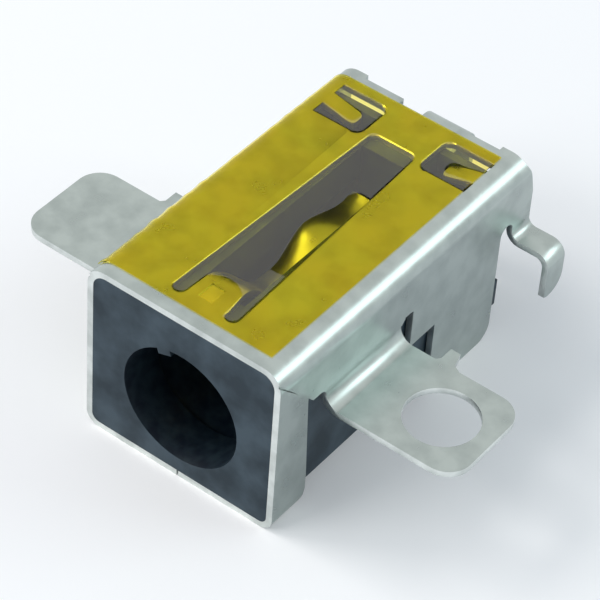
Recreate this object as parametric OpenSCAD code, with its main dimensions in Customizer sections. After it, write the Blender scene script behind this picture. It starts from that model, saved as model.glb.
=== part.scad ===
// Shielded DC power jack for a 4.0 mm plug, mid-mount type, with two fixing ears.
// X runs across the mouth, Y runs rearward from it and Z is up.
// The origin is the plug bore's axis where it meets the mouth.

/* [Shield] */
// Width over the shield's side walls
shield_w = 7.32; // [7.0:0.02:8.0]
// Height of the shield from its base to its top plate
shield_h = 6.55; // [6.3:0.05:7.0]
// Length of the top plate
top_len = 12.25; // [12.05:0.05:12.5]
// How far the side walls run on past the top plate
wall_over = 0.55; // [0.45:0.05:0.9]
// Thickness of the sheet
sheet = 0.22; // [0.16:0.01:0.25]
// Outer radius of the long bends between the top plate and the walls
bend_r = 0.7; // [0.5:0.05:0.75]
// How far the plate's rear corners stand behind its rear edge
corner_step = 0.18; // [0.1:0.02:0.3]

/* [Collar] */
// Length of the collar's side straps, from the mouth
strap_len = 1.6; // [1.4:0.05:1.62]
// Length of the collar's bottom strap
sill_len = 1.1; // [0.8:0.05:1.3]
// Step of the collar inside the walls
collar_step = 0.05; // [0.02:0.01:0.08]
// Outer radius of the collar's lower corners
collar_r = 0.5; // [0.4:0.05:0.7]
// Gap of the butt joint under the mouth
seam_gap = 0.06; // [0.04:0.01:0.2]

/* [Ears] */
// Span over both ears
ear_span = 16.6; // [16.0:0.1:18.0]
// Front edge of the ears, from the mouth
ear_y = 2.25; // [2.25:0.05:2.5]
// Length of the ears along the jack
ear_len = 3.7; // [3.3:0.05:3.75]
// Drop from the top plate to the ears and the hooks
board_drop = 2.8; // [2.6:0.05:3.0]
// Inside radius of the bend at the ears' roots
ear_bend_r = 0.5; // [0.35:0.05:0.55]
// Radius of the ears' outer corners
ear_corner_r = 0.85; // [0.5:0.05:1.2]
// Diameter of the screw hole
screw_d = 2.4; // [2.1:0.1:2.6]
// Distance of the screw hole's middle from the ear's outer edge
screw_inset = 1.75; // [1.6:0.05:2.0]
// Length of the locating tang behind each ear
tang_len = 0.65; // [0.4:0.05:0.8]
// Width of the locating tangs
tang_w = 0.5; // [0.4:0.05:0.7]

/* [Side walls] */
// Width of the relief slots beside the ears
relief_w = 0.62; // [0.5:0.02:0.62]
// Height of the relief slots' round tops above the ears
relief_rise = 0.72; // [0.7:0.02:0.9]
// Length of the lower side panel along the jack
panel_len = 3.33; // [2.8:0.01:3.6]
// Radius of the panel's rear lower corner
panel_r = 0.6; // [0.4:0.05:1.0]
// Drop from the ears to the step in front of the panel
step_drop = 0.83; // [0.6:0.01:1.2]

/* [Solder hooks] */
// Span over both hooks
hook_span = 10.24; // [9.8:0.02:11.0]
// Length of a hook along the jack
hook_len = 0.95; // [0.9:0.05:1.0]
// Width of the relief slot in front of a hook
hook_slot = 0.65; // [0.5:0.05:0.8]
// Length of a hook's leg below its arm
hook_leg = 1.75; // [1.2:0.05:2.0]
// Inside radius of the hooks' bends
hook_bend_r = 0.3; // [0.2:0.05:0.35]

/* [Contact finger] */
// Front end of the two slots that free the finger
slot_y = 0.85; // [0.75:0.01:1.0]
// Distance of the opening's rear end from the plate's rear edge
slot_inset = 1.95; // [1.85:0.05:2.2]
// Half width of the opening at its front end
slot_half_front = 1.21; // [1.15:0.01:1.3]
// Half width of the opening at its rear end
slot_half_rear = 0.86; // [0.8:0.01:0.95]
// Half width of the finger at its root
finger_half_root = 0.75; // [0.7:0.01:0.8]
// Half width of the finger along its tongue
finger_half = 0.5; // [0.4:0.01:0.52]
// How far the finger's contact dips below the top plate
finger_dip = 1.7; // [1.4:0.05:1.7]
// How far the finger's ridge lies below the top plate
ridge_drop = 0.9; // [0.8:0.05:1.1]
// Gap between the finger's tip and the opening's rear end
finger_gap = 1.4; // [0.9:0.1:1.8]
// Where the finger starts to bend down, from the mouth
finger_bend_y = 1.9; // [1.6:0.1:2.2]
// Distance of the finger's contact from the mouth
contact_y = 4.6; // [4.3:0.1:4.9]
// Length of the finger's contact
contact_len = 0.6; // [0.3:0.1:0.8]
// Distance of the finger's ridge from the mouth
ridge_y = 6.4; // [6.0:0.1:6.8]
// Drop of the finger behind its ridge
tail_drop = 0.5; // [0.3:0.05:0.6]
// Length of the finger's upturned tip
tip_len = 0.5; // [0.3:0.1:0.7]
// Rise of the finger's upturned tip
tip_rise = 0.25; // [0.1:0.05:0.4]

/* [Corner openings] */
// Inner edge of the corner openings, from the middle
corner_in = 1.12; // [1.1:0.01:1.3]
// Outer edge of the corner openings, from the middle
corner_out = 2.9; // [2.6:0.05:2.9]
// Distance of the corner openings from the plate's rear edge
corner_inset = 0.7; // [0.6:0.05:0.9]
// Length of the corner openings along the jack
corner_len = 1.65; // [1.4:0.05:1.8]
// Corner radius of the corner openings
corner_open_r = 0.33; // [0.2:0.01:0.4]
// Width of the latch tongues
tongue_w = 0.6; // [0.5:0.02:0.7]
// Length of the latch tongues
tongue_len = 1.2; // [1.0:0.05:1.3]
// How far the left latch tongue's tip is bent down
tongue_dip_left = 0.26; // [0.1:0.02:0.4]
// How far the right latch tongue's tip is bent down
tongue_dip_right = 0.34; // [0.1:0.02:0.4]

/* [Housing] */
// Height of the plug bore's axis above the base
bore_h = 2.9; // [2.75:0.05:2.95]
// Diameter of the plug bore's collar
bore_d = 4.3; // [4.2:0.05:4.4]
// Diameter of the chamber behind the collar
chamber_d = 4.7; // [4.6:0.05:4.8]
// Length of the plug bore's collar
bore_collar = 1.6; // [1.4:0.05:1.7]
// How far the housing stops short of the top plate's rear edge
housing_short = 0.85; // [0.75:0.05:0.95]
// Thickness of the housing behind the plug bore
rear_wall = 1.8; // [1.6:0.05:2.0]
// Lower corner chamfer of the housing behind its flange
housing_chamfer = 0.5; // [0.3:0.05:0.8]
// Height of the key at the top of the mouth
key_h = 0.21; // [0.1:0.01:0.21]
// Width of the key at the top of the mouth
key_w = 0.5; // [0.3:0.05:0.8]
// Angle of the key from the right-hand side in degrees
key_angle = 109; // [102:1:114]

/* [Centre pin and terminal] */
// Diameter of the centre pin
pin_d = 1.65; // [1.5:0.05:1.7]
// Distance of the pin's tip behind the mouth
pin_tip_y = 2.1; // [2.0:0.05:2.6]
// Length of the pin's shoulder
shoulder_len = 1; // [0.6:0.1:1.2]
// Diameter of the pin's shoulder
shoulder_d = 2.4; // [2.1:0.1:2.8]
// Diameter of the pin's riveted tail
tail_d = 1.0; // [0.8:0.05:1.1]
// Clearance round the pin's shoulder and tail
pin_gap = 0.02; // [0.01:0.01:0.05]
// Width of the centre terminal
term_w = 1.7; // [1.6:0.05:2.0]
// Offset of the centre terminal from the middle
term_x = -0.1; // [-0.2:0.02:0.1]
// Thickness of the centre terminal
term_t = 0.25; // [0.2:0.05:0.3]
// Drop from the top plate to the terminal's bridge
term_drop = 1.2; // [1.0:0.05:1.3]
// Reach of the terminal behind the housing
term_reach = 2.45; // [2.0:0.05:2.8]
// Inside radius of the terminal's bends
term_bend_r = 0.25; // [0.2:0.05:0.35]

/* [Tape] */
// Thickness of the insulating tape
tape_t = 0.05; // [0.03:0.01:0.08]
// Front edge of the tape
tape_y = 0.5; // [0.4:0.05:0.7]
// Distance of the tape from the plate's rear edge
tape_inset = 0.3; // [0.25:0.05:0.45]
// Right edge of the tape, from the middle
tape_right = 2.86; // [2.8:0.02:2.92]
// Angle of the left bend that the tape wraps, in degrees
tape_wrap = 62; // [40:2:80]

/* [Hidden] */

$fn = 64;
half_w = shield_w / 2;
wall_len = top_len + wall_over;
inner_half = half_w - sheet;
base_z = -bore_h;
top_z = shield_h - bore_h;
under_z = top_z - sheet;
collar_half = half_w - collar_step;
strap_top_y = strap_len - 0.18;
ear_z = top_z - board_drop;
ear_half = ear_span / 2;
ear_end = ear_y + ear_len;
screw_x = ear_half - screw_inset;
screw_y = ear_y + ear_len / 2;
tang_x = screw_x - screw_d / 2;
relief_r = relief_w / 2;
relief_top = ear_z + relief_rise;
tab_y = ear_end + relief_w;
hook_half = hook_span / 2;
hook_y = wall_len - hook_len;
panel_end = hook_y - hook_slot;
panel_y = panel_end - panel_len;
hook_rear_r = 0.65;
hook_front_r = 0.2;
strip_half = 2.6;
notch_half = 1.08;
notch_y = top_len - 0.25;
lap = 0.2;
seam_depth = 0.09;
slot_end = top_len - slot_inset;
finger_end = slot_end - finger_gap;
contact_in = contact_y - contact_len / 2;
contact_out = contact_y + contact_len / 2;
tip_y = finger_end - tip_len;
corner_end = top_len - corner_inset;
corner_y = corner_end - corner_len;
corner_mid = (corner_y + corner_end) / 2;
corner_mid_x = (corner_in + corner_out) / 2;
latch_pocket = 0.75;
housing_half = collar_half - sheet;
housing_base = base_z + sheet;
housing_len = top_len - housing_short;
bore_depth = housing_len - rear_wall;
lug_z = base_z + 1.15;
lug_h = 1.05;
lug_over = 0.08;
channel_half = finger_half_root + 0.1;
seat_y = housing_len - term_t;
seat_drop = 0.9;
bridge_z = top_z - term_drop;
term_end = housing_len + term_reach;
tape_end = top_len - tape_inset;
tail_z = ear_z - hook_leg;

// A flat shape in X and Z, drawn out from y0 to y1
module along_y(y0, y1) {
    translate([0, y1, 0])
        rotate([90, 0, 0])
            linear_extrude(y1 - y0)
                children();
}

// A flat shape in Y and Z, drawn out from x0 to x1
module along_x(x0, x1) {
    translate([x0, 0, 0])
        rotate([90, 0, 90])
            linear_extrude(x1 - x0)
                children();
}

// The same solid on both sides of the jack
module both_sides() {
    children();
    mirror([1, 0, 0])
        children();
}

// A box section with one radius for its upper corners and one for its lower
module box_2d(half, z0, z1, r_top, r_low) {
    translate([-half, z0 + r_low])
        square([2 * half, z1 - z0 - r_top - r_low]);
    translate([r_top - half, z1 - r_top - lap])
        square([2 * (half - r_top), r_top + lap]);
    translate([r_low - half, z0])
        square([2 * (half - r_low), r_low + lap]);
    for (s = [-1, 1]) {
        translate([s * (half - r_top), z1 - r_top])
            circle(r_top);
        translate([s * (half - r_low), z0 + r_low])
            circle(r_low);
    }
}

// A rectangle with its four corners round
module round_rect_2d(x0, y0, x1, y1, r) {
    translate([x0 + r, y0])
        square([x1 - x0 - 2 * r, y1 - y0]);
    translate([x0, y0 + r])
        square([x1 - x0, y1 - y0 - 2 * r]);
    for (x = [x0 + r, x1 - r], y = [y0 + r, y1 - r])
        translate([x, y])
            circle(r);
}

// A quarter of a bend with its inside radius r, towards sx and sz
module bend_2d(r, t, sx, sz) {
    intersection() {
        difference() {
            circle(r + t);
            circle(r);
        }
        translate([sx > 0 ? 0 : -(r + t), sz > 0 ? 0 : -(r + t)])
            square(r + t);
    }
}

// The section where a wall bends outward into a level arm that ends at x1
module arm_2d(z, r, x1) {
    translate([inner_half, z + r])
        square([sheet, lap]);
    translate([half_w + r, z + r])
        bend_2d(r, sheet, -1, -1);
    translate([half_w + r, z - sheet])
        square([x1 - half_w - r, sheet]);
}

// The hook's section, an arm that turns down into a leg
module hook_2d() {
    bend_x = hook_half - sheet - hook_bend_r;
    bend_z = ear_z - sheet - hook_bend_r;
    arm_2d(ear_z, hook_bend_r, bend_x);
    translate([bend_x, bend_z])
        bend_2d(hook_bend_r, sheet, 1, 1);
    translate([hook_half - sheet, tail_z])
        square([sheet, bend_z - tail_z]);
}

// The hook's outline from the side, round at the end of its leg
module hook_side_2d() {
    translate([hook_y, tail_z + hook_rear_r])
        square([hook_len, relief_top - tail_z]);
    translate([hook_y, tail_z + hook_front_r])
        square([hook_len / 2, hook_rear_r]);
    translate([hook_y + hook_front_r, tail_z])
        square([hook_len - hook_front_r - hook_rear_r, hook_rear_r]);
    translate([hook_y + hook_front_r, tail_z + hook_front_r])
        circle(hook_front_r);
    translate([wall_len - hook_rear_r, tail_z + hook_rear_r])
        circle(hook_rear_r);
}

// A relief slot in a side wall, with a top that is round to the radius r
module relief_2d(y0, w, r) {
    intersection() {
        translate([y0, -1])
            square([w, relief_top + 2]);
        translate([y0 + r, relief_top - r])
            circle(r);
    }
    translate([y0, -1])
        square([w, relief_top - r + 1]);
}

// What is left of a side wall, seen from the side
module wall_outline_2d() {
    difference() {
        union() {
            // the upper band, cut on a slant over the collar and stepped at the rear
            polygon([
                [0, top_z + 1],
                [0, top_z - bend_r / 2],
                [strap_len, relief_top],
                [wall_len, relief_top],
                [wall_len, top_z - 2 * bend_r],
                [wall_len - 0.22, top_z - bend_r * 0.7],
                [top_len + corner_step, top_z - bend_r / 4],
                [top_len + corner_step, top_z + 1]]);
            // the ear's root
            translate([ear_y - relief_r, ear_z + ear_bend_r])
                square([ear_len + relief_r + lap, relief_rise]);
            // the step behind the ear
            translate([tab_y - relief_r, ear_z - step_drop])
                square([panel_y - tab_y + relief_r + lap, relief_top - ear_z + step_drop]);
            // the lower panel with its round rear corner
            translate([panel_y, base_z])
                square([panel_end - panel_y - panel_r, relief_top - base_z]);
            translate([panel_end - panel_r, base_z + panel_r])
                square([panel_r, relief_top - base_z - panel_r]);
            translate([panel_end - panel_r, base_z + panel_r])
                circle(panel_r);
            // the hook's root
            translate([panel_end, ear_z + hook_bend_r])
                square([wall_len - panel_end, relief_rise]);
        }
        relief_2d(ear_y - relief_w, relief_w, relief_r);
        relief_2d(ear_end, relief_w, relief_w * 0.68);
        relief_2d(panel_end, hook_slot, hook_slot / 2);
    }
}

// The top plate with its long bends and both side walls
module cover() {
    intersection() {
        difference() {
            along_y(0, wall_len)
                box_2d(half_w, base_z, top_z, bend_r, 0);
            along_y(-1, wall_len + 1)
                box_2d(inner_half, base_z - 1, under_z, bend_r - sheet, 0);
        }
        along_x(-half_w - 1, half_w + 1)
            wall_outline_2d();
    }
}

// The collar, a strap bent round the mouth with its ends butted underneath
module collar() {
    difference() {
        along_y(0, strap_len)
            box_2d(collar_half, base_z, top_z, bend_r, collar_r);
        along_y(-1, strap_len + 1)
            box_2d(housing_half, housing_base, under_z, bend_r - sheet, collar_r - sheet);
        along_x(-half_w - 1, half_w + 1)
            polygon([
                [strap_top_y, under_z - bend_r],
                [strap_top_y, relief_top],
                [strap_len, base_z + 1.2],
                [strap_len, base_z + 0.7],
                [strap_len - 0.12, base_z + 0.35],
                [sill_len + 0.1, base_z + 0.08],
                [sill_len, base_z],
                [sill_len, base_z - 1],
                [strap_len + 1, base_z - 1],
                [strap_len + 1, under_z - bend_r]]);
        translate([-seam_gap / 2, -1, base_z - 1])
            cube([seam_gap, strap_len + 2, 2]);
    }
}

// The right-hand ear, bent out of the side wall
module ear() {
    intersection() {
        along_y(ear_y, ear_end)
            arm_2d(ear_z, ear_bend_r, ear_half);
        translate([0, 0, base_z])
            linear_extrude(shield_h) {
                translate([0, ear_y])
                    square([ear_half - ear_corner_r, ear_len]);
                round_rect_2d(half_w, ear_y, ear_half, ear_end, ear_corner_r);
            }
    }
}

// A locating tang on an ear's rear edge, with its outer edge on a slant
module tang(skew) {
    translate([tang_x, ear_end, ear_z - sheet])
        linear_extrude(sheet)
            polygon([
                [-tang_w / 2 - 0.12, -lap],
                [-tang_w / 2 - 0.12, 0],
                [-tang_w / 2, 0.14],
                [-tang_w / 2, tang_len],
                [tang_w / 2 - skew, tang_len],
                [tang_w / 2, 0.14],
                [tang_w / 2 + 0.12 + skew, 0],
                [tang_w / 2 + 0.12 + skew, -lap]]);
}

// The right-hand hook, bent out of the side wall and down
module hook() {
    intersection() {
        along_y(hook_y, wall_len)
            hook_2d();
        along_x(0, hook_half + 1)
            hook_side_2d();
    }
}

// The opening in the top plate round the contact finger, with a slot on each side
module finger_opening_2d() {
    rear_r = 0.3;
    slot_r = (slot_half_front - finger_half_root) / 2;
    polygon([
        [-slot_half_front, slot_y + slot_r],
        [slot_half_front, slot_y + slot_r],
        [slot_half_rear, slot_end - rear_r],
        [-slot_half_rear, slot_end - rear_r]]);
    translate([rear_r - slot_half_rear, slot_end - 2 * rear_r])
        square([2 * (slot_half_rear - rear_r), 2 * rear_r]);
    for (s = [-1, 1]) {
        translate([s * (slot_half_rear - rear_r), slot_end - rear_r])
            circle(rear_r);
        translate([s * (slot_half_front - slot_r), slot_y + slot_r])
            circle(slot_r);
    }
}

// The finger's outline from above, necked behind its root and round at its tip
module finger_plan_2d() {
    root_y = slot_y + 0.3;
    neck_y = 3.6;
    tip_r = 0.35;
    polygon([
        [-finger_half_root, 0.1],
        [finger_half_root, 0.1],
        [finger_half_root, root_y],
        [finger_half, neck_y],
        [finger_half, finger_end - tip_r],
        [-finger_half, finger_end - tip_r],
        [-finger_half, neck_y],
        [-finger_half_root, root_y]]);
    translate([tip_r - finger_half, finger_end - 2 * tip_r])
        square([2 * (finger_half - tip_r), 2 * tip_r]);
    for (s = [-1, 1])
        translate([s * (finger_half - tip_r), finger_end - tip_r])
            circle(tip_r);
}

// Height of the finger's middle line over the plate's, at a distance from the mouth
function ease(a, b, u) = a + (b - a) * (1 - cos(180 * max(0, min(1, u)))) / 2;
function finger_z(y) =
    y < contact_y ? ease(0, -finger_dip, (y - finger_bend_y) / (contact_in - finger_bend_y))
    : y < ridge_y ? ease(-finger_dip, -ridge_drop, (y - contact_out) / (ridge_y - contact_out))
    : y < tip_y ? ease(-ridge_drop, -ridge_drop - tail_drop, (y - ridge_y) / (tip_y - ridge_y))
    : -ridge_drop - tail_drop + tip_rise * pow((y - tip_y) / tip_len, 2);

// The finger, which dips to its contact, rises to a ridge and turns up at its tip
module finger() {
    ys = [slot_y / 2, slot_y, for (y = [finger_bend_y:0.1:finger_end + 0.01]) y];
    slopes = [for (y = ys) (finger_z(y + 0.02) - finger_z(y - 0.02)) / 0.04];
    mids = [for (y = ys) under_z + sheet / 2 + finger_z(y)];
    sides = [for (s = slopes) [-s, 1] / sqrt(1 + s * s) * sheet / 2];
    upper = [for (i = [0:len(ys) - 1]) [ys[i], mids[i]] + sides[i]];
    lower = [for (i = [len(ys) - 1:-1:0]) [ys[i], mids[i]] - sides[i]];
    intersection() {
        along_x(-finger_half_root - 0.1, finger_half_root + 0.1)
            polygon(concat(upper, lower));
        translate([0, 0, base_z])
            linear_extrude(shield_h + 1)
                finger_plan_2d();
    }
}

// The right-hand corner opening in the top plate
module corner_opening_2d() {
    round_rect_2d(corner_in, corner_y, corner_out - corner_open_r, corner_end, corner_open_r);
    translate([corner_mid_x, corner_y])
        square([corner_out - corner_mid_x, corner_len]);
}

// The right-hand latch tongue, bent down from the opening's outer edge
module tongue(dip) {
    tip_x = corner_out - tongue_len;
    intersection() {
        along_y(corner_mid - tongue_w, corner_mid + tongue_w)
            polygon([
                [corner_out + 0.06, under_z],
                [corner_out + 0.06, top_z],
                [corner_out, top_z],
                [tip_x, top_z - dip],
                [tip_x, under_z - dip],
                [corner_out, under_z]]);
        translate([0, 0, base_z])
            linear_extrude(shield_h + 1) {
                round_rect_2d(tip_x, corner_mid - tongue_w / 2, tip_x + tongue_w, corner_mid + tongue_w / 2, 0.2);
                translate([tip_x + tongue_w / 2, corner_mid - tongue_w / 2])
                    square([tongue_len, tongue_w]);
            }
    }
}

module shield() {
    color([0.80, 0.82, 0.81]) {
        difference() {
            union() {
                cover();
                collar();
            }
            // the openings in the top plate
            translate([0, 0, under_z - 0.1])
                linear_extrude(sheet + 0.2) {
                    finger_opening_2d();
                    corner_opening_2d();
                    mirror([1, 0])
                        corner_opening_2d();
                }
            // the plate's rear edge and the notch in it
            translate([-strip_half, top_len, under_z - 0.1])
                cube([2 * strip_half, wall_len, sheet + 0.2]);
            translate([-notch_half, notch_y, under_z - 0.1])
                cube([2 * notch_half, wall_len, sheet + 0.2]);
            // the seam where the collar's side straps leave the walls' bends
            both_sides()
                along_x(collar_half - seam_depth, half_w + 1)
                    polygon([
                        [-0.1, top_z - bend_r / 2 + 0.12],
                        [0.95, top_z - bend_r / 2 - 1.03],
                        [0.02, top_z - bend_r / 2 - 0.12],
                        [-0.1, top_z - bend_r / 2 - 0.06]]);
        }
        difference() {
            both_sides()
                ear();
            translate([screw_x, screw_y, ear_z - 1])
                cylinder(d = screw_d, h = 2);
        }
        both_sides()
            hook();
        finger();
        tongue(tongue_dip_right);
        tang(0.15);
        mirror([1, 0, 0]) {
            tongue(tongue_dip_left);
            tang(0);
        }
    }
}

module housing() {
    color([0.13, 0.15, 0.18])
        difference() {
            union() {
                along_y(0, strap_len)
                    box_2d(housing_half, housing_base, under_z, bend_r - sheet, collar_r - sheet);
                along_y(0, housing_len)
                    intersection() {
                        box_2d(housing_half, housing_base - 1, under_z, bend_r - sheet, 0);
                        polygon([
                            [-housing_half - 1, top_z],
                            [-housing_half - 1, housing_base + housing_chamfer + 1],
                            [housing_chamfer - housing_half, housing_base],
                            [housing_half - housing_chamfer, housing_base],
                            [housing_half + 1, housing_base + housing_chamfer + 1],
                            [housing_half + 1, top_z]]);
                    }
                // the lugs that stand behind the lower panels
                translate([-housing_half - 0.2, panel_end + 0.03, lug_z])
                    cube([2 * housing_half + 0.4, housing_len + lug_over - panel_end - 0.03, lug_h]);
            }
            rotate([-90, 0, 0]) {
                translate([0, 0, -1])
                    cylinder(d = bore_d, h = bore_collar + 2);
                translate([0, 0, bore_collar])
                    cylinder(d = chamber_d, h = bore_depth - bore_collar);
                translate([0, 0, bore_depth - 1])
                    cylinder(d = shoulder_d + 2 * pin_gap, h = shoulder_len + 1);
                translate([0, 0, bore_depth])
                    cylinder(d = tail_d + 2 * pin_gap, h = housing_len);
            }
            // the channel for the contact finger
            translate([-channel_half, bore_collar + 0.2, 0])
                cube([2 * channel_half, bore_depth - bore_collar, top_z]);
            // the pockets under the latch tongues, closed by the housing's rear wall
            for (s = [-1, 1])
                translate([s * corner_mid_x - (corner_out - corner_in) / 2, corner_y, under_z - latch_pocket])
                    cube([corner_out - corner_in, housing_len - 0.3 - corner_y, 2 * latch_pocket]);
            // the terminal's seat on the rear face
            translate([term_x - term_w / 2 - 0.05, seat_y, -seat_drop - 0.05])
                cube([term_w + 0.1, 1, top_z + seat_drop]);
        }
    // the key in the mouth
    color([0.13, 0.15, 0.18])
        rotate([0, -key_angle, 0])
            translate([bore_d / 2 - key_h, 0, -key_w / 2])
                cube([key_h + 0.1, 0.5, key_w]);
}

module centre_pin() {
    color([0.85, 0.80, 0.66])
        rotate([-90, 0, 0]) {
            translate([0, 0, pin_tip_y + pin_d / 2])
                sphere(d = pin_d);
            translate([0, 0, pin_tip_y + pin_d / 2])
                cylinder(d = pin_d, h = bore_depth - pin_tip_y);
            translate([0, 0, bore_depth])
                cylinder(d = shoulder_d, h = shoulder_len);
            translate([0, 0, bore_depth])
                cylinder(d = tail_d, h = housing_len - bore_depth + 0.1);
            translate([0, 0, housing_len])
                cylinder(d1 = tail_d + 0.5, d2 = tail_d, h = 0.25);
        }
}

module centre_terminal() {
    front_x = seat_y + term_t + term_bend_r;
    rear_x = term_end - term_t - term_bend_r;
    bend_z = bridge_z - term_t - term_bend_r;
    color([0.84, 0.84, 0.82])
        difference() {
            union() {
                along_x(term_x - term_w / 2, term_x + term_w / 2) {
                    // up the housing's rear face
                    translate([seat_y, -seat_drop])
                        square([term_t, bend_z + seat_drop]);
                    translate([front_x, bend_z])
                        bend_2d(term_bend_r, term_t, -1, 1);
                    // the bridge
                    translate([front_x, bridge_z - term_t])
                        square([rear_x - front_x, term_t]);
                    translate([rear_x, bend_z])
                        bend_2d(term_bend_r, term_t, 1, 1);
                    // the broad part of the tail
                    translate([term_end - term_t, ear_z - sheet])
                        square([term_t, bend_z - ear_z + sheet]);
                }
                // the solder tail
                along_x(term_x - term_w / 4, term_x + term_w / 4)
                    translate([term_end - term_t, tail_z])
                        square([term_t, hook_leg]);
            }
            translate([0, seat_y - 1, 0])
                rotate([-90, 0, 0])
                    cylinder(d = tail_d + 2 * pin_gap, h = 2);
        }
}

module insulating_tape() {
    edge = half_w - bend_r;
    color([0.78, 0.68, 0.10, 0.8])
        along_y(tape_y, tape_end) {
            translate([-edge, top_z])
                square([edge + tape_right, tape_t]);
            translate([-edge, top_z - bend_r])
                intersection() {
                    difference() {
                        circle(bend_r + tape_t);
                        circle(bend_r);
                    }
                    polygon([
                        [0, 0],
                        [0, 2],
                        [-2 * tan(tape_wrap / 2), 2],
                        [-2 * sin(tape_wrap), 2 * cos(tape_wrap)]]);
                }
        }
}

shield();
housing();
centre_pin();
centre_terminal();
insulating_tape();
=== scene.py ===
import math

import bmesh
import bpy
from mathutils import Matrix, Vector, noise


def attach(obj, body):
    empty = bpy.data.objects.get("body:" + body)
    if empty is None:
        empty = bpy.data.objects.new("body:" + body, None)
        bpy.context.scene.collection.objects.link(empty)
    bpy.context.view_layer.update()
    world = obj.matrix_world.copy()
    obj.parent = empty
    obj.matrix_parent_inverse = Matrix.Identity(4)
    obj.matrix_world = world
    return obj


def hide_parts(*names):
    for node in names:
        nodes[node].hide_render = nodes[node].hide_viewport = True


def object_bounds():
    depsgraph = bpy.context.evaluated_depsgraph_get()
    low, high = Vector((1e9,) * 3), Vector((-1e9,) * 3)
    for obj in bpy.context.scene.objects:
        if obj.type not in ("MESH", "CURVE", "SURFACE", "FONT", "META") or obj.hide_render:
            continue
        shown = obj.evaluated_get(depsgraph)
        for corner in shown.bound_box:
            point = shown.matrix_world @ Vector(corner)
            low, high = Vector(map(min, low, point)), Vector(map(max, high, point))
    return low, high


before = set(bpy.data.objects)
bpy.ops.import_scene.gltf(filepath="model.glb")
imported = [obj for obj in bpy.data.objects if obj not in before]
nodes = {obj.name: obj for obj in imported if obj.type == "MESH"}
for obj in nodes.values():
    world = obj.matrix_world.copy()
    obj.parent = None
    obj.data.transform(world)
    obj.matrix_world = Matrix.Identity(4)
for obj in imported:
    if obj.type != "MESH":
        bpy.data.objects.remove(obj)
cad_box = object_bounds()

# ---------------------------------------------------------------- camera
# A long lens looks down on the jack from its front right, with the mouth at
# the lower left, so that the top plate, the mouth and the right ear all show.
MM = 0.001

camera_data = bpy.data.cameras.new("camera")
camera_data.sensor_width = 36
camera_data.angle = math.radians(11.6204)
camera_data.clip_start = 0.001
camera_data.clip_end = 20
camera = bpy.data.objects.new("camera", camera_data)
camera.location = (37.258 * MM, -48.007 * MM, 62.921 * MM)
camera.rotation_euler = (0.805671, -0.054625, 0.657873)
bpy.context.scene.collection.objects.link(camera)
bpy.context.scene.camera = camera
bpy.context.scene.view_settings.view_transform = "Standard"

# ---------------------------------------------------------------- studio
# The jack lies on a sweep of white card in a pale room, under three large soft
# boxes. The room is white, and the card a little brighter, wherever the camera
# looks at them straight, in a mirror or through glass.
floor_z = cad_box[0][2]
card_side = 3
card_glow = 0.16
jack_middle = Vector((0, 6 * MM, 0))


def brighter_where_seen(tree, plain, bright, share, surface):
    """Mixes a share of a bright shader into a plain one, for camera, mirror and glass rays."""
    rays = tree.nodes.new("ShaderNodeLightPath")
    seen = rays.outputs["Is Camera Ray"]
    for kind in ("Is Glossy Ray", "Is Transmission Ray"):
        either = tree.nodes.new("ShaderNodeMath")
        either.operation = "MAXIMUM"
        tree.links.new(seen, either.inputs[0])
        tree.links.new(rays.outputs[kind], either.inputs[1])
        seen = either.outputs[0]
    amount = tree.nodes.new("ShaderNodeMath")
    amount.operation = "MULTIPLY"
    amount.inputs[1].default_value = share
    tree.links.new(seen, amount.inputs[0])
    mix = tree.nodes.new("ShaderNodeMixShader")
    tree.links.new(amount.outputs[0], mix.inputs[0])
    tree.links.new(plain.outputs[0], mix.inputs[1])
    tree.links.new(bright.outputs[0], mix.inputs[2])
    tree.links.new(mix.outputs[0], surface)


def soft_box(name, place, size, power, tint):
    """A rectangular area lamp that faces the middle of the jack."""
    lamp = bpy.data.lights.new(name, "AREA")
    lamp.shape = "RECTANGLE"
    lamp.size, lamp.size_y = size
    lamp.energy = power
    lamp.color = tint
    holder = bpy.data.objects.new(name, lamp)
    holder.location = place
    aim = jack_middle - Vector(place)
    holder.rotation_euler = aim.to_track_quat("-Z", "Y").to_euler()
    bpy.context.scene.collection.objects.link(holder)


bpy.ops.mesh.primitive_plane_add(size=card_side, location=(0, 0, floor_z))
floor = bpy.context.active_object
floor.name = "floor"
card = bpy.data.materials.new("white_card")
card.use_nodes = True
tree = card.node_tree
shader = tree.nodes["Principled BSDF"]
shader.inputs["Base Color"].default_value = (0.97, 0.965, 0.96, 1)
shader.inputs["Roughness"].default_value = 0.9
shader.inputs["Specular IOR Level"].default_value = 0.1
glow = tree.nodes.new("ShaderNodeEmission")
glow.inputs["Color"].default_value = (1, 1, 1, 1)
glow.inputs["Strength"].default_value = 1
brighter_where_seen(tree, shader, glow, card_glow, tree.nodes["Material Output"].inputs["Surface"])
floor.data.materials.append(card)

world = bpy.data.worlds.new("room")
bpy.context.scene.world = world
world.use_nodes = True
tree = world.node_tree
backdrop = tree.nodes["Background"]
backdrop.inputs["Color"].default_value = (1, 1, 1, 1)
backdrop.inputs["Strength"].default_value = 1
room = tree.nodes.new("ShaderNodeBackground")
room.inputs["Color"].default_value = (0.79, 0.885, 1, 1)
room.inputs["Strength"].default_value = 0.5
brighter_where_seen(tree, room, backdrop, 1, tree.nodes["World Output"].inputs["Surface"])

soft_box("soft_box_front", place=(-0.12, -0.19, 0.17), size=(0.14, 0.10), power=0.27, tint=(1, 0.99, 0.98))
soft_box("soft_box_right", place=(0.160, 0.145, 0.124), size=(0.14, 0.11), power=0.13, tint=(0.84, 0.98, 1))
soft_box("soft_box_left", place=(-0.27, -0.08, 0.27), size=(0.18, 0.18), power=0.68, tint=(1, 0.97, 0.945))

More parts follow.
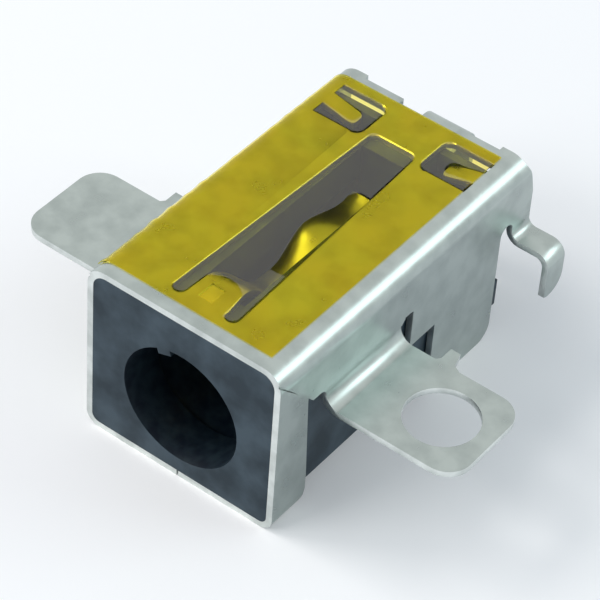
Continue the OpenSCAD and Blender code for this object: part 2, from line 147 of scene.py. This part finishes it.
# ---------------------------------------------------------------- shield
# The shield is one piece of tin-plated brass sheet, blanked and folded round the
# housing. Blanking rolls its cut edges over, most of all round the openings in the
# top plate, and a small oblong pad is stamped near the front of the finger's root.
weld_gap, near = 1e-7, 1e-6
flat_within, smooth_below = math.radians(0.8), math.radians(35)
edge_roll, rim_roll = 0.04 * MM, 0.07 * MM
blanked_angle = 78
plate_top = 3.65 * MM
openings_half_width = 2.89 * MM
openings_front, openings_rear = 0.8 * MM, 12 * MM
pad_x, pad_y = -0.075 * MM, 1.43 * MM
pad_reach_x, pad_reach_y, pad_reach_z = 0.3 * MM, 0.4 * MM, 0.15 * MM
pad_floor_drop = 0.02 * MM

# The pad's punch is a four-sided taper, from its floor to its top, and its scale
# brings it down to its real size.
punch_floor, punch_top, punch_depth = 1.28, 1.40, 0.07
punch_scale = (0.275 * MM, 0.37 * MM, MM)


def deselect_all():
    """Leaves no object selected."""
    for thing in list(bpy.context.selected_objects):
        thing.select_set(False)


def take_up(*pieces):
    """Selects these pieces and nothing else, with the first of them active."""
    deselect_all()
    for piece in pieces:
        piece.select_set(True)
    bpy.context.view_layer.objects.active = pieces[0]


def solid_from(node, name):
    """A mesh of its own on a CAD node's faces, closed and with its flats made whole."""
    piece = nodes[node].copy()
    piece.data = nodes[node].data.copy()
    for key in [k for k in piece.keys() if k.startswith("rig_")]:
        del piece[key]
    piece.name = name
    piece.data.name = name
    piece.parent = None
    bpy.context.scene.collection.objects.link(piece)
    take_up(piece)
    piece.data.materials.clear()
    bpy.ops.object.mode_set(mode="EDIT")
    bpy.ops.mesh.select_all(action="SELECT")
    bpy.ops.mesh.remove_doubles(threshold=weld_gap)
    bpy.ops.mesh.dissolve_limited(angle_limit=flat_within)
    bpy.ops.object.mode_set(mode="OBJECT")
    return piece


def keep_flats_flat(piece):
    """Smooth shading over bends and rolled edges that leaves the large flats flat."""
    bpy.ops.object.shade_smooth_by_angle(angle=smooth_below)
    even = piece.modifiers.new("flats_stay_flat", "WEIGHTED_NORMAL")
    even.weight = 100
    even.keep_sharp = True
    bpy.ops.object.modifier_apply(modifier="flats_stay_flat")


def break_edges(piece, width, wanted=lambda edge: True, segments=2, sharpness=30, clamp=True):
    """Rolls over a piece's outer edges that are sharper than an angle in degrees."""
    bpy.ops.object.mode_set(mode="EDIT")
    bpy.ops.mesh.select_all(action="DESELECT")
    shape = bmesh.from_edit_mesh(piece.data)
    for edge in shape.edges:
        outer = len(edge.link_faces) == 2 and edge.is_convex
        if outer and edge.calc_face_angle() > math.radians(sharpness):
            edge.select_set(wanted(edge))
    bmesh.update_edit_mesh(piece.data)
    bpy.ops.mesh.bevel(offset=width, segments=segments, affect="EDGES", clamp_overlap=clamp)
    bpy.ops.object.mode_set(mode="OBJECT")
    keep_flats_flat(piece)


def on_opening_rim(edge):
    """Whether an edge of the shield is on the rim of an opening in its top plate."""
    return all(
        abs(v.co.z - plate_top) < near
        and abs(v.co.x) < openings_half_width
        and openings_front < v.co.y < openings_rear
        for v in edge.verts
    )


def on_pad(point):
    """Whether a point lies on the stamped pad's floor or walls."""
    within = abs(point.x - pad_x) < pad_reach_x and abs(point.y - pad_y) < pad_reach_y
    return within and point.z > plate_top - pad_reach_z


shield = solid_from("shield", "shield_sheet")

deselect_all()
bpy.ops.mesh.primitive_cone_add(
    vertices=4, radius1=punch_floor, radius2=punch_top, depth=punch_depth, rotation=(0, 0, math.pi / 4)
)
punch = bpy.context.active_object
bpy.ops.object.transform_apply(location=False, rotation=True, scale=False)
punch.scale = punch_scale
punch.location = (pad_x, pad_y, plate_top)
bpy.ops.object.transform_apply(location=True, rotation=True, scale=True)
stamp = shield.modifiers.new("stamped_pad", "BOOLEAN")
stamp.operation = "DIFFERENCE"
stamp.solver = "EXACT"
stamp.object = punch
take_up(shield)
bpy.ops.object.modifier_apply(modifier="stamped_pad")
bpy.data.objects.remove(punch)

bpy.ops.object.mode_set(mode="EDIT")
shape = bmesh.from_edit_mesh(shield.data)
for edge in shape.edges:
    if all(on_pad(v.co) for v in edge.verts):
        edge.smooth = False
bmesh.update_edit_mesh(shield.data)
bpy.ops.object.mode_set(mode="OBJECT")
break_edges(shield, edge_roll, wanted=lambda edge: not on_opening_rim(edge), sharpness=blanked_angle)
break_edges(shield, rim_roll, wanted=on_opening_rim, segments=4, sharpness=blanked_angle, clamp=False)


def blotches(tree, scale, detail):
    """The level of a soft noise over a piece, which its tone and shine can follow."""
    where = tree.nodes.new("ShaderNodeTexCoord")
    cloud = tree.nodes.new("ShaderNodeTexNoise")
    cloud.inputs["Scale"].default_value = scale
    cloud.inputs["Detail"].default_value = detail
    tree.links.new(where.outputs["Object"], cloud.inputs["Vector"])
    return cloud.outputs["Fac"]


def blend_tones(tree, level, low, high, first, second):
    """A colour that goes from the first to the second as the level goes from low to high."""
    tone = tree.nodes.new("ShaderNodeValToRGB")
    tone.color_ramp.elements[0].position = low
    tone.color_ramp.elements[0].color = (*first, 1)
    tone.color_ramp.elements[1].position = high
    tone.color_ramp.elements[1].color = (*second, 1)
    tree.links.new(level, tone.inputs["Fac"])
    return tone.outputs["Color"]


def blend_shine(tree, level, low, high, first, second):
    """A roughness that goes from the first to the second as the level goes from low to high."""
    satin = tree.nodes.new("ShaderNodeMapRange")
    satin.inputs["From Min"].default_value = low
    satin.inputs["From Max"].default_value = high
    satin.inputs["To Min"].default_value = first
    satin.inputs["To Max"].default_value = second
    tree.links.new(level, satin.inputs["Value"])
    return satin.outputs["Result"]


def plated(name, dark, light, gloss):
    """Satin plate: soft blotches in its tone and shine over a faintly uneven sheet."""
    finish = bpy.data.materials.new(name)
    finish.use_nodes = True
    tree = finish.node_tree
    shader = tree.nodes["Principled BSDF"]
    shader.inputs["Metallic"].default_value = 1
    level = blotches(tree, scale=1300, detail=4)
    tone = blend_tones(tree, level, 0.36, 0.62, dark, light)
    tree.links.new(tone, shader.inputs["Base Color"])
    satin = blend_shine(tree, level, 0.3, 0.7, gloss, gloss + 0.08)
    tree.links.new(satin, shader.inputs["Roughness"])
    relief = tree.nodes.new("ShaderNodeBump")
    relief.inputs["Strength"].default_value = 0.35
    relief.inputs["Distance"].default_value = 0.01 * MM
    tree.links.new(blotches(tree, scale=650, detail=2), relief.inputs["Height"])
    tree.links.new(relief.outputs["Normal"], shader.inputs["Normal"])
    return finish


plating = plated("tin_plate", (0.36, 0.41, 0.395), (0.43, 0.485, 0.466), 0.27)
# The cut edges are given a lighter tone than the plate. This is partly the sheared face's own finish and
# partly painted highlight, standing in for the bright lines along the edges.
sheared_and_highlit = plated("sheared_edge_painted_highlight", (0.57, 0.61, 0.59), (0.76, 0.80, 0.78), 0.3)
# The stamped pad's floor is glossier than the plate, its coined finish, and lighter in tone, a painted
# highlight for the brighter patch it shows.
coined_and_highlit = plated("coined_pad_painted_highlight", (0.44, 0.50, 0.47), (0.54, 0.60, 0.57), 0.2)
for finish in (plating, sheared_and_highlit, coined_and_highlit):
    shield.data.materials.append(finish)

# These places on the shield, in millimetres, tell its cut edges from its faces. The cut edges take the
# lighter sheared tone, which is partly their own finish and partly painted highlight.
finger_half_width, finger_front, finger_rear = 0.77, 0.9, 9.1
body_half_width = 4.2
hook_front, hook_top = 11.8, 1.2
for face in shield.data.polygons:
    x, y, z = (c / MM for c in face.center)
    cut_end = abs(face.normal.y) > 0.5
    on_finger = abs(x) < finger_half_width and finger_front < y < finger_rear
    cut_side = abs(x) > body_half_width and abs(face.normal.z) < 0.5
    on_hook = y > hook_front and z < hook_top
    if (cut_end and not on_finger) or (cut_side and not on_hook):
        face.material_index = 1
    # The pad's floor takes the lighter coined tone, the painted highlight.
    elif on_pad(face.center) and face.center.z < plate_top - pad_floor_drop:
        face.material_index = 2
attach(shield, "root")
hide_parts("shield")

# ---------------------------------------------------------------- housing
# The housing is moulded in matte black nylon, with the plug bore and its key at
# the mouth. It is pushed into the shield from the rear until its flange seats.
moulded_edge = 0.04 * MM
bore_reach, bore_front, bore_rear = 2.45, 0.06, 11

housing = solid_from("housing", "housing_moulding")
break_edges(housing, moulded_edge)


def moulded(name, dark, light, grain):
    """Matte moulded nylon with faint clouding in its tone."""
    finish = bpy.data.materials.new(name)
    finish.use_nodes = True
    tree = finish.node_tree
    shader = tree.nodes["Principled BSDF"]
    tone = blend_tones(tree, blotches(tree, scale=grain, detail=6), 0.38, 0.64, dark, light)
    tree.links.new(tone, shader.inputs["Base Color"])
    shader.inputs["Roughness"].default_value = 0.5
    shader.inputs["Specular IOR Level"].default_value = 0.3
    return finish


# The outer faces get the plain black nylon. The faces within the bore get a darker, bluer tone of it:
# painted shade, for the shade deep in the bore.
outside = moulded("black_nylon", (0.008, 0.021, 0.032), (0.039, 0.064, 0.084), 700)
bore_shade_nylon = moulded("black_nylon_painted_bore_shade", (0.001, 0.005, 0.012), (0.010, 0.020, 0.028), 2400)
housing.data.materials.append(outside)
housing.data.materials.append(bore_shade_nylon)
# Faces within the bore's reach, between its front and rear, take the darker tone, the painted shade.
for face in housing.data.polygons:
    x, y, z = (c / MM for c in face.center)
    if bore_front < y < bore_rear and math.hypot(x, z) < bore_reach:
        face.material_index = 1
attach(housing, "root")
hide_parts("housing")

# ---------------------------------------------------------------- centre pin
# The pin is turned brass with a bright plate. Its shoulder seats in the housing's
# rear wall, and its tail is riveted over the terminal.
pin = solid_from("centre_pin", "centre_pin_turned")
bpy.ops.object.shade_smooth_by_angle(angle=smooth_below)
pin.data.materials.append(plated("pin_plate", (0.52, 0.49, 0.42), (0.62, 0.59, 0.50), 0.18))
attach(pin, "root")
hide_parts("centre_pin")

# ---------------------------------------------------------------- centre terminal
# The terminal is stamped strip, plated like the shield. It bridges rearward from
# the pin's tail and turns down into the board.
stamped_edge = 0.03 * MM

terminal = solid_from("centre_terminal", "centre_terminal_strip")
break_edges(terminal, stamped_edge)
terminal.data.materials.append(plating)
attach(terminal, "root")
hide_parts("centre_terminal")

# ---------------------------------------------------------------- insulating tape
# The tape is clear amber polyimide film, laid over the top plate and its openings
# and pressed a little way round the left bend, where it crinkles. It is hazy over
# the openings, except over the contact finger and the two latch tongues.
film_gap = 0.008 * MM
film_thickness = 0.034 * MM
film_front, film_rear = 0.50 * MM, 11.95 * MM
film_right, film_left = 2.86 * MM, -2.96 * MM
film_seam = film_left + 0.02 * MM
bend_radius = 0.70 * MM
bend_angle = math.radians(62)
bend_steps, border_steps = 8, 110
crinkle_height, crinkle_run = 0.05 * MM, 0.25 * MM
crinkles_along, crinkles_down, crinkle_seed = 2600, 900, 3

# The outlines of the openings are in millimetres, from the jack's own origin.
slot_inner, slot_outer, slot_front, slot_corner = 0.75, 1.21, 0.85, 0.22
well_half_width, well_rear = 0.86, 10.3
root_half_width, root_side, root_middle, root_curve, root_steps = 0.68, 1.9, 2.22, 0.7, 6
gap_inner, gap_outer, gap_front, gap_rear, gap_corner = 1.12, 2.855, 9.9, 11.55, 0.33
tongue_front, tongue_rear, tongue_corner = 10.42, 11.0, 0.2


def rounded(path, radius, steps=6):
    """A flat path from end to end, with an arc at each corner between its two ends."""
    points = [Vector(path[0])]
    for i in range(1, len(path) - 1):
        here = Vector(path[i])
        before = (Vector(path[i - 1]) - here).normalized()
        after = (Vector(path[i + 1]) - here).normalized()
        half = before.angle(after) / 2
        reach = radius / math.tan(half)
        centre = here + (before + after).normalized() * radius / math.sin(half)
        start = here + before * reach - centre
        end = here + after * reach - centre
        for k in range(steps + 1):
            points.append(centre + start.slerp(end, k / steps) * radius)
    return points + [Vector(path[-1])]


def finger_opening():
    """The opening round the contact finger, less the clear patch over its hump."""
    right_slot = [(slot_inner, slot_front), (slot_outer, slot_front), (well_half_width, well_rear)]
    clear_patch = [
        (1.118, 3.35), (0.60, 3.30), (0.55, 3.75), (0.38, 4.38), (0.19, 5.04),
        (0.105, 5.55), (0.135, 5.90), (0.26, 6.31), (0.38, 6.71), (0.41, 7.06),
        (0.37, 7.40), (0.45, 7.62), (0.60, 7.76), (0.954, 7.76),
    ]
    well_and_left_slot = [
        (slot_outer, slot_front), (well_half_width, well_rear), (-well_half_width, well_rear),
        (-slot_outer, slot_front), (-slot_inner, slot_front), (-root_half_width, root_side),
    ]
    root = []
    for k in range(-root_steps, root_steps + 1):
        across = root_half_width * k / root_steps
        root.append((across, root_middle - root_curve * across * across))
    right_side = rounded(right_slot, slot_corner)[:-1]
    left_side = rounded(well_and_left_slot, slot_corner)[1:-1]
    return right_side + clear_patch + left_side + root


def corner_gap(side, tip, slant):
    """The gap round a slanting latch tongue, on the left (-1) or the right (1)."""
    gap = [(gap_outer, gap_front), (gap_inner, gap_front), (gap_inner, gap_rear), (gap_outer, gap_rear)]
    tongue = [
        (gap_outer, tongue_rear), (tip, tongue_rear - slant),
        (tip, tongue_front - slant), (gap_outer, tongue_front),
    ]
    return [(side * p[0], p[1]) for p in rounded(gap, gap_corner) + rounded(tongue, tongue_corner)]


def flat_sheet(name, loops):
    """A flat filled sheet with these outlines, as a mesh."""
    outline = bpy.data.curves.new(name, "CURVE")
    outline.dimensions = "2D"
    outline.fill_mode = "BOTH"
    for loop in loops:
        spline = outline.splines.new("POLY")
        spline.points.add(len(loop) - 1)
        for point, (x, y) in zip(spline.points, loop):
            point.co = (x, y, 0, 1)
        spline.use_cyclic_u = True
    sheet = bpy.data.objects.new(name, outline)
    bpy.context.scene.collection.objects.link(sheet)
    take_up(sheet)
    bpy.ops.object.convert(target="MESH")
    return bpy.context.active_object


def amber(name, haze):
    """Clear amber film, which lets lamplight through to what lies below it."""
    finish = bpy.data.materials.new(name)
    finish.use_nodes = True
    tree = finish.node_tree
    shader = tree.nodes["Principled BSDF"]
    level = blotches(tree, scale=420, detail=3)
    tone = blend_tones(tree, level, 0.35, 0.65, (0.975, 0.82, 0.165), (0.96, 0.855, 0.175))
    tree.links.new(tone, shader.inputs["Base Color"])
    tree.links.new(blend_shine(tree, level, 0.35, 0.65, 0.03, 0.06), shader.inputs["Roughness"])
    shader.inputs["Transmission Weight"].default_value = 1
    shader.inputs["IOR"].default_value = 1.12
    shader.inputs["Coat Weight"].default_value = haze
    shader.inputs["Coat Roughness"].default_value = 0.2
    shader.inputs["Coat IOR"].default_value = 1.68
    rays = tree.nodes.new("ShaderNodeLightPath")
    through = tree.nodes.new("ShaderNodeBsdfTransparent")
    through.inputs["Color"].default_value = (0.97, 0.84, 0.17, 1)
    choose = tree.nodes.new("ShaderNodeMixShader")
    tree.links.new(rays.outputs["Is Shadow Ray"], choose.inputs[0])
    tree.links.new(shader.outputs[0], choose.inputs[1])
    tree.links.new(through.outputs[0], choose.inputs[2])
    tree.links.new(choose.outputs[0], tree.nodes["Material Output"].inputs["Surface"])
    return finish


openings = [finger_opening(), corner_gap(-1, tip=1.58, slant=0.19), corner_gap(1, tip=1.84, slant=0.24)]
border = [(film_seam, film_front), (film_right, film_front), (film_right, film_rear)]
for k in range(border_steps):
    border.append((film_seam, film_rear + (film_front - film_rear) * k / border_steps))
border = [(x / MM, y / MM) for x, y in border]
tape = flat_sheet("insulating_tape_film", [border] + openings)
over_gaps = flat_sheet("film_over_gaps", openings)

film = amber("amber_film", haze=0)
hazy_film = amber("amber_film_unbacked", haze=1)
for sheet in (tape, over_gaps):
    sheet.data.materials.clear()
    sheet.data.materials.append(film)
    sheet.data.materials.append(hazy_film)
for face in over_gaps.data.polygons:
    face.material_index = 1
take_up(tape, over_gaps)
bpy.ops.object.join()
bpy.ops.object.mode_set(mode="EDIT")
bpy.ops.mesh.select_all(action="SELECT")
bpy.ops.mesh.remove_doubles(threshold=weld_gap / MM)
bpy.ops.transform.resize(value=(MM, MM, MM), center_override=(0, 0, 0))
bpy.ops.transform.translate(value=(0, 0, plate_top + film_gap))
bpy.ops.mesh.select_all(action="DESELECT")
shape = bmesh.from_edit_mesh(tape.data)
for edge in shape.edges:
    if all(abs(v.co.x - film_seam) < near for v in edge.verts):
        edge.select_set(True)
bmesh.update_edit_mesh(tape.data)
bpy.ops.mesh.extrude_region_move(TRANSFORM_OT_translate={"value": (film_left - film_seam, 0, 0)})
bpy.ops.mesh.spin(
    steps=bend_steps, angle=bend_angle, center=(film_left, 0, plate_top - bend_radius), axis=(0, 1, 0)
)
bpy.ops.object.mode_set(mode="OBJECT")
for point in tape.data.vertices:
    if point.co.x < film_left - weld_gap:
        radial = Vector((point.co.x - film_left, 0, point.co.z - plate_top + bend_radius))
        lift = noise.noise(Vector((point.co.y * crinkles_along, point.co.z * crinkles_down, crinkle_seed)))
        round_bend = min(1, -radial.x / crinkle_run)
        point.co += radial.normalized() * max(0, lift) * crinkle_height * round_bend
take_up(tape)
thicken = tape.modifiers.new("thickness", "SOLIDIFY")
thicken.thickness = film_thickness
thicken.offset = 1
bpy.ops.object.modifier_apply(modifier="thickness")
for face in tape.data.polygons:
    if face.material_index == 1 and face.normal.z < 0.5:
        face.material_index = 0
keep_flats_flat(tape)
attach(tape, "root")
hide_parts("insulating_tape")
